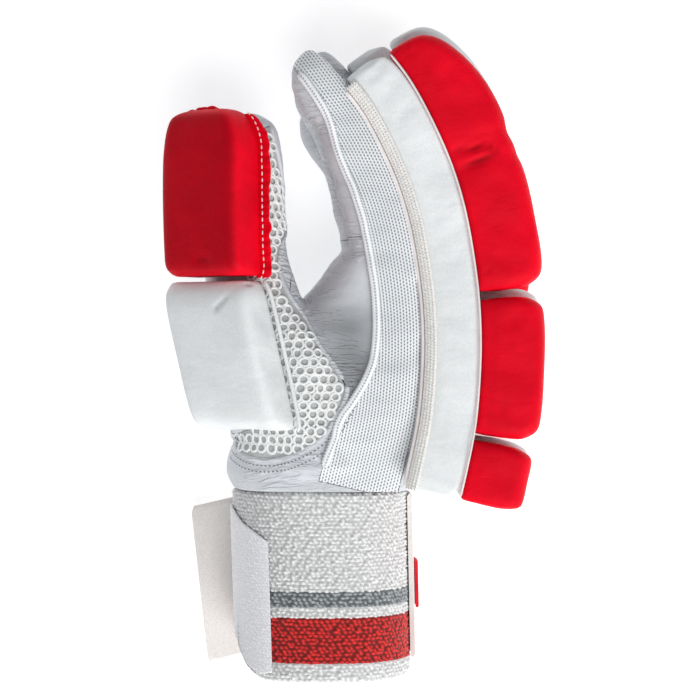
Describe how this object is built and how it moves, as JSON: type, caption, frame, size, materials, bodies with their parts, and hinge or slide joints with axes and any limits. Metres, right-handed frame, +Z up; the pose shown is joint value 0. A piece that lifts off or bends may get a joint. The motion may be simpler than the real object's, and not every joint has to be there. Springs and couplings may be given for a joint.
{
  "type": "cricket batting glove",
  "caption": "Right-hand cricket batting glove with padded back-of-hand rolls, two thumb pads, mesh thumb panel, knit sides and an elastic wristband with an open strap.",
  "frame": {"origin": "on the surface that the glove lies on, under the middle of its box", "axes": "+Y from the wristband to the fingertips, +X from the palm to the back of the hand, +Z up to the thumb side"},
  "size_m": [0.1636, 0.2836, 0.1143],
  "materials": {
    "red_cover": "red coated leather, satin, fine pebble grain",
    "white_cover": "white coated leather, satin, fine grain",
    "soft_leather": "soft white leather, matt, creased",
    "side_knit": "fine ribbed white knit",
    "open_mesh": "white open mesh over a grey ground",
    "towelling": "white towelling knit with a grey and a red stripe",
    "loop_cloth": "white brushed loop cloth",
    "velour": "cream brushed velour"
  },
  "bodies": {
    "root": {"palm": "soft_leather", "hand_back": "soft_leather", "index_gusset": "side_knit", "little_gusset": "side_knit", "thumb": "soft_leather", "thumb_mesh": "open_mesh", "index_finger": "soft_leather", "middle_finger": "soft_leather", "ring_finger": "soft_leather", "little_finger": "soft_leather", "index_bar": "white_cover", "middle_bar": "white_cover", "ring_bar": "white_cover", "little_bar": "white_cover", "index_back_roll": "red_cover", "index_knuckle_roll": "red_cover", "index_finger_roll": "red_cover", "middle_back_roll": "white_cover", "middle_knuckle_roll": "white_cover", "middle_finger_roll": "white_cover", "ring_back_roll": "white_cover", "ring_knuckle_roll": "white_cover", "ring_finger_roll": "white_cover", "little_back_roll": "red_cover", "little_knuckle_roll": "red_cover", "little_finger_roll": "red_cover", "thumb_tip_pad": "red_cover", "thumb_base_pad": "white_cover", "wristband": "towelling", "loop_panel": "loop_cloth", "strap": "velour", "strap_patch": "red_cover"}
  },
  "joints": []
}
